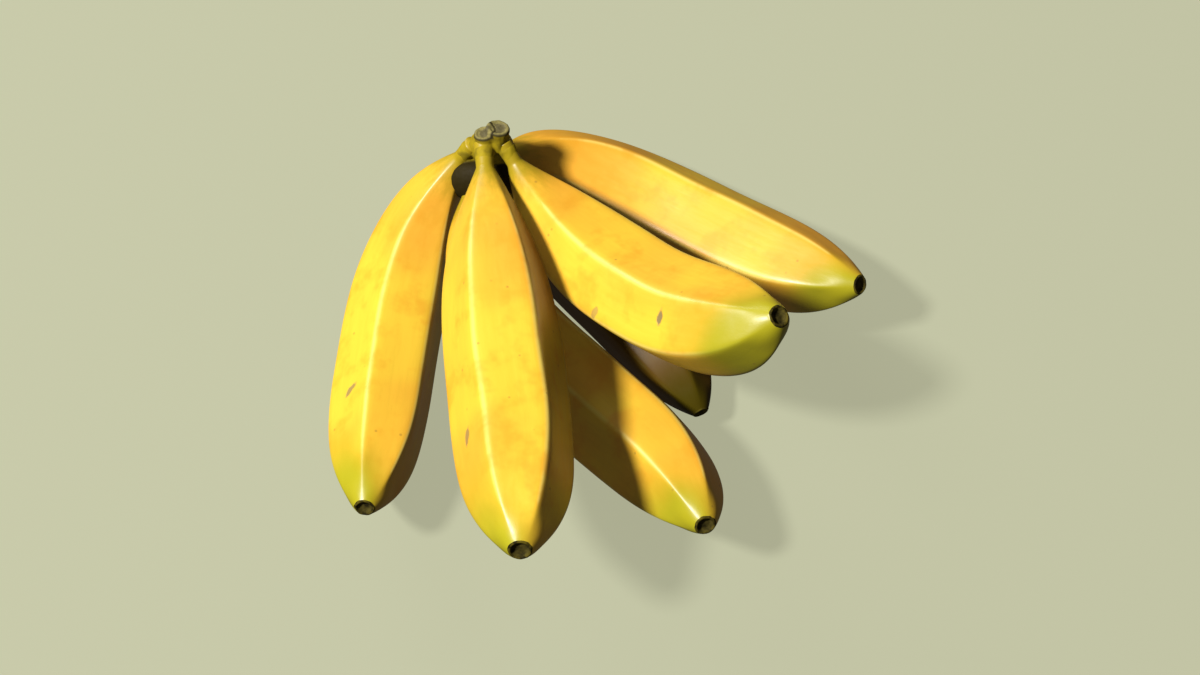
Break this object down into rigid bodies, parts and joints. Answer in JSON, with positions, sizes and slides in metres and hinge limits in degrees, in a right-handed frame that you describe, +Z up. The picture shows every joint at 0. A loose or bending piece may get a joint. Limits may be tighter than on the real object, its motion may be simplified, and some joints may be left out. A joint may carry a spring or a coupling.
{
  "type": "banana bunch",
  "caption": "Hand of plump yellow bananas joined at a small cut crown, lying on its back with the tips curled up; loose fruit for a table, bowl or market stall.",
  "frame": {"origin": "on the surface the bunch lies on, under the middle of its box", "axes": "+X to the right of the spread fruits, +Y toward the crown, +Z up"},
  "size_m": [0.1896, 0.1786, 0.1008],
  "materials": {
    "peel": "satin yellow peel, greener at the neck and tip",
    "crown": "dry matte cut stalk"
  },
  "bodies": {
    "root": {"crown": "crown", "finger_left": "peel", "finger_front": "peel", "finger_right": "peel", "finger_rear": "peel", "finger_low": "peel", "finger_under": "peel"}
  },
  "joints": []
}
